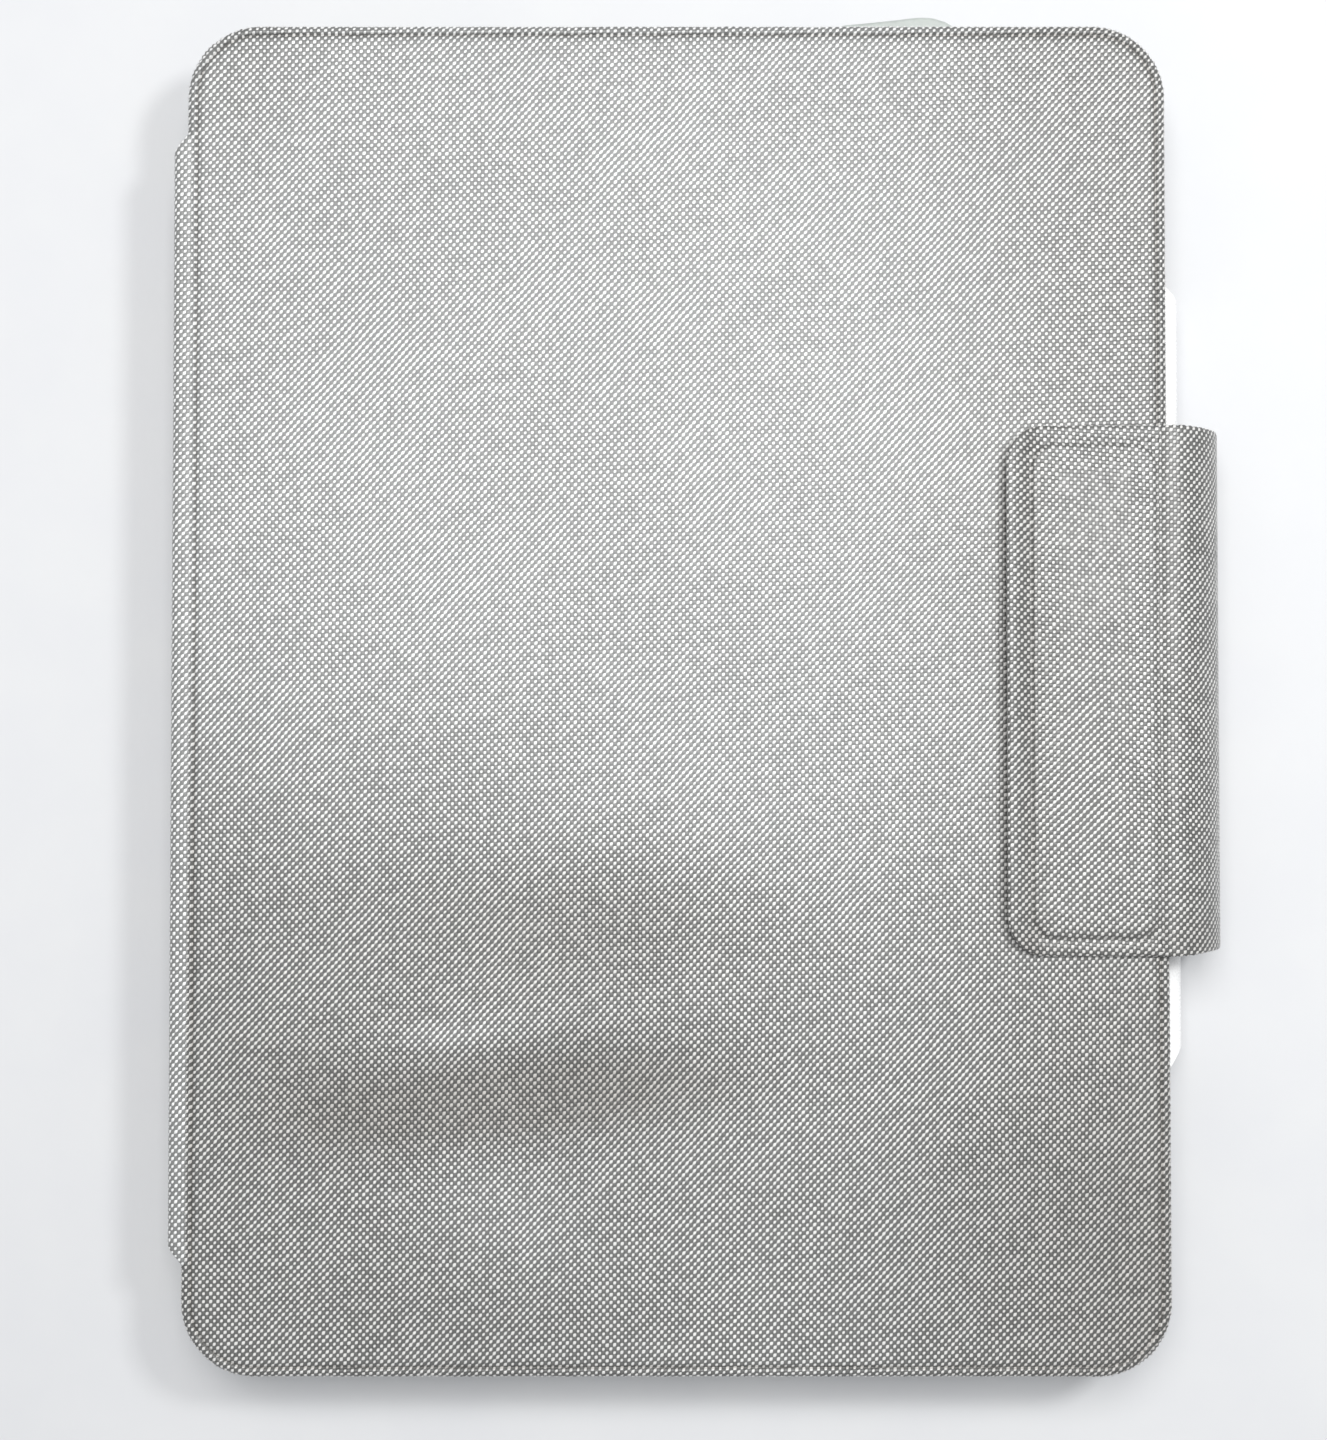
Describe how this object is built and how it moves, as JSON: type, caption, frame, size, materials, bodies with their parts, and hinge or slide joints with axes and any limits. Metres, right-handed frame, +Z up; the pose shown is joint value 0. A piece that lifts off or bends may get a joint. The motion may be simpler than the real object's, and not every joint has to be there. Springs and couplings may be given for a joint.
{
  "type": "tablet keyboard case",
  "caption": "Closed folio keyboard case for a tablet in grey woven fabric, with magnetic flap, tablet tray, stylus holder, kickstand and removable keyboard.",
  "frame": {"origin": "centre of the underside, below the middle of the front cover", "axes": "+Z up out of the front cover, -X at the spine, +X at the flap, +Y along the spine towards the tablet's top edge"},
  "size_m": [0.1979, 0.259, 0.0229],
  "materials": {
    "woven_fabric": "plain weave of white and grey yarn, matt",
    "board": "stiff fibre board",
    "lining": "grey microfibre, matt",
    "soft_tpu": "translucent soft plastic, satin",
    "white_plastic": "white, smooth",
    "steel": "plain",
    "magnet": "nickel plated",
    "case_plastic": "fine texture",
    "key_plastic": "fine texture",
    "pad_plastic": "smooth, satin",
    "board_green": "solder mask",
    "battery_wrap": "film",
    "light_pipe": "clear tint"
  },
  "bodies": {
    "back_cover": {"back_cover_fabric": "woven_fabric", "back_cover_board": "board", "back_cover_lining": "lining", "tray_shell": "soft_tpu", "stylus_holder": "white_plastic", "kickstand_hinge_fixed_leaves": "steel"},
    "kickstand": {"kickstand_fabric": "woven_fabric", "kickstand_board": "board", "kickstand_magnets": "magnet", "kickstand_hinge_moving_leaves": "steel", "kickstand_hinge_pins": "steel"},
    "spine": {"spine_fabric": "woven_fabric", "spine_board": "board", "spine_lining": "lining", "rear_fold": "woven_fabric", "front_fold": "woven_fabric"},
    "front_cover": {"front_cover_fabric": "woven_fabric", "front_cover_board": "board", "front_cover_lining": "lining", "flap_catch_plate": "steel", "keyboard_magnets": "magnet"},
    "flap_side": {"flap_side_fabric": "woven_fabric", "flap_lower_fold": "woven_fabric"},
    "flap_tab": {"flap_upper_fold": "woven_fabric", "flap_tab_lining": "lining", "flap_tab_fabric": "woven_fabric", "flap_tab_plate": "board", "flap_magnets": "magnet"},
    "keyboard": {"keyboard_top_case": "case_plastic", "keyboard_base_cover": "case_plastic", "keyboard_screws": "steel", "key_support_plate": "steel", "keyboard_catch_plates": "steel", "circuit_board": "board_green", "battery": "battery_wrap", "usb_c_port": "steel", "status_light": "light_pipe"},
    "power_button_cover": {"power_button_cover": "soft_tpu"},
    "volume_up_cover": {"volume_up_cover": "soft_tpu"},
    "volume_down_cover": {"volume_down_cover": "soft_tpu"},
    "power_switch": {"power_switch": "case_plastic"},
    "touchpad": {"touchpad": "pad_plastic"},
    "escape_key": {"escape_key": "key_plastic"},
    "function_keys": {"function_keys": "key_plastic"},
    "number_keys": {"number_keys": "key_plastic"},
    "backspace_key": {"backspace_key": "key_plastic"},
    "tab_key": {"tab_key": "key_plastic"},
    "upper_letter_keys": {"upper_letter_keys": "key_plastic"},
    "caps_lock_key": {"caps_lock_key": "key_plastic"},
    "home_letter_keys": {"home_letter_keys": "key_plastic"},
    "enter_key": {"enter_key": "key_plastic"},
    "left_shift_key": {"left_shift_key": "key_plastic"},
    "lower_letter_keys": {"lower_letter_keys": "key_plastic"},
    "right_shift_key": {"right_shift_key": "key_plastic"},
    "left_modifier_keys": {"left_modifier_keys": "key_plastic"},
    "space_bar": {"space_bar": "key_plastic"},
    "right_modifier_keys": {"right_modifier_keys": "key_plastic"},
    "side_arrow_keys": {"side_arrow_keys": "key_plastic"},
    "up_down_arrow_keys": {"up_down_arrow_keys": "key_plastic"}
  },
  "joints": [
    {"name": "spine_rear_fold", "type": "hinge", "parent": "back_cover", "child": "spine", "pos_m": [-0.0934, 0, 0.0014], "axis": [0, -1, 0], "range_deg": [0, 90]},
    {"name": "spine_front_fold", "type": "hinge", "parent": "spine", "child": "front_cover", "pos_m": [-0.0934, 0, 0.0192], "axis": [0, -1, 0], "range_deg": [0, 90]},
    {"name": "flap_lower_fold_hinge", "type": "hinge", "parent": "back_cover", "child": "flap_side", "pos_m": [0.0969, 0, 0.0014], "axis": [0, 1, 0], "range_deg": [0, 100]},
    {"name": "flap_upper_fold_hinge", "type": "hinge", "parent": "flap_side", "child": "flap_tab", "pos_m": [0.0934, 0, 0.0219], "axis": [0, 1, 0], "range_deg": [0, 100]},
    {"name": "kickstand_hinge", "type": "hinge", "parent": "back_cover", "child": "kickstand", "pos_m": [0, 0, 0.00125], "axis": [0, -1, 0], "range_deg": [0, 105]},
    {"name": "keyboard_lift_off", "type": "slide", "parent": "front_cover", "child": "keyboard", "axis": [0, 1, 0], "range_m": [0, 0.26]},
    {"name": "power_button_press", "type": "slide", "parent": "back_cover", "child": "power_button_cover", "axis": [0, -1, 0], "range_m": [0, 0.0004], "stiffness_N_per_m": 4000},
    {"name": "volume_up_press", "type": "slide", "parent": "back_cover", "child": "volume_up_cover", "axis": [-1, 0, 0], "range_m": [0, 0.0004], "stiffness_N_per_m": 4000},
    {"name": "volume_down_press", "type": "slide", "parent": "back_cover", "child": "volume_down_cover", "axis": [-1, 0, 0], "range_m": [0, 0.0004], "stiffness_N_per_m": 4000},
    {"name": "power_switch_slide", "type": "slide", "parent": "keyboard", "child": "power_switch", "axis": [1, 0, 0], "range_m": [0, 0.0025]},
    {"name": "touchpad_press", "type": "slide", "parent": "keyboard", "child": "touchpad", "axis": [0, 0, 1], "range_m": [0, 0.0004], "stiffness_N_per_m": 5000},
    {"name": "escape_key_press", "type": "slide", "parent": "keyboard", "child": "escape_key", "axis": [0, 0, 1], "range_m": [0, 0.0015], "stiffness_N_per_m": 300},
    {"name": "function_keys_press", "type": "slide", "parent": "keyboard", "child": "function_keys", "axis": [0, 0, 1], "range_m": [0, 0.0015], "stiffness_N_per_m": 3900},
    {"name": "number_keys_press", "type": "slide", "parent": "keyboard", "child": "number_keys", "axis": [0, 0, 1], "range_m": [0, 0.0015], "stiffness_N_per_m": 3900},
    {"name": "backspace_key_press", "type": "slide", "parent": "keyboard", "child": "backspace_key", "axis": [0, 0, 1], "range_m": [0, 0.0015], "stiffness_N_per_m": 300},
    {"name": "tab_key_press", "type": "slide", "parent": "keyboard", "child": "tab_key", "axis": [0, 0, 1], "range_m": [0, 0.0015], "stiffness_N_per_m": 300},
    {"name": "upper_letter_keys_press", "type": "slide", "parent": "keyboard", "child": "upper_letter_keys", "axis": [0, 0, 1], "range_m": [0, 0.0015], "stiffness_N_per_m": 3900},
    {"name": "caps_lock_key_press", "type": "slide", "parent": "keyboard", "child": "caps_lock_key", "axis": [0, 0, 1], "range_m": [0, 0.0015], "stiffness_N_per_m": 300},
    {"name": "home_letter_keys_press", "type": "slide", "parent": "keyboard", "child": "home_letter_keys", "axis": [0, 0, 1], "range_m": [0, 0.0015], "stiffness_N_per_m": 3300},
    {"name": "enter_key_press", "type": "slide", "parent": "keyboard", "child": "enter_key", "axis": [0, 0, 1], "range_m": [0, 0.0015], "stiffness_N_per_m": 300},
    {"name": "left_shift_key_press", "type": "slide", "parent": "keyboard", "child": "left_shift_key", "axis": [0, 0, 1], "range_m": [0, 0.0015], "stiffness_N_per_m": 300},
    {"name": "lower_letter_keys_press", "type": "slide", "parent": "keyboard", "child": "lower_letter_keys", "axis": [0, 0, 1], "range_m": [0, 0.0015], "stiffness_N_per_m": 3000},
    {"name": "right_shift_key_press", "type": "slide", "parent": "keyboard", "child": "right_shift_key", "axis": [0, 0, 1], "range_m": [0, 0.0015], "stiffness_N_per_m": 300},
    {"name": "left_modifier_keys_press", "type": "slide", "parent": "keyboard", "child": "left_modifier_keys", "axis": [0, 0, 1], "range_m": [0, 0.0015], "stiffness_N_per_m": 1200},
    {"name": "space_bar_press", "type": "slide", "parent": "keyboard", "child": "space_bar", "axis": [0, 0, 1], "range_m": [0, 0.0015], "stiffness_N_per_m": 300},
    {"name": "right_modifier_keys_press", "type": "slide", "parent": "keyboard", "child": "right_modifier_keys", "axis": [0, 0, 1], "range_m": [0, 0.0015], "stiffness_N_per_m": 600},
    {"name": "side_arrow_keys_press", "type": "slide", "parent": "keyboard", "child": "side_arrow_keys", "axis": [0, 0, 1], "range_m": [0, 0.0015], "stiffness_N_per_m": 600},
    {"name": "up_down_arrow_keys_press", "type": "slide", "parent": "keyboard", "child": "up_down_arrow_keys", "axis": [0, 0, 1], "range_m": [0, 0.0015], "stiffness_N_per_m": 600}
  ]
}
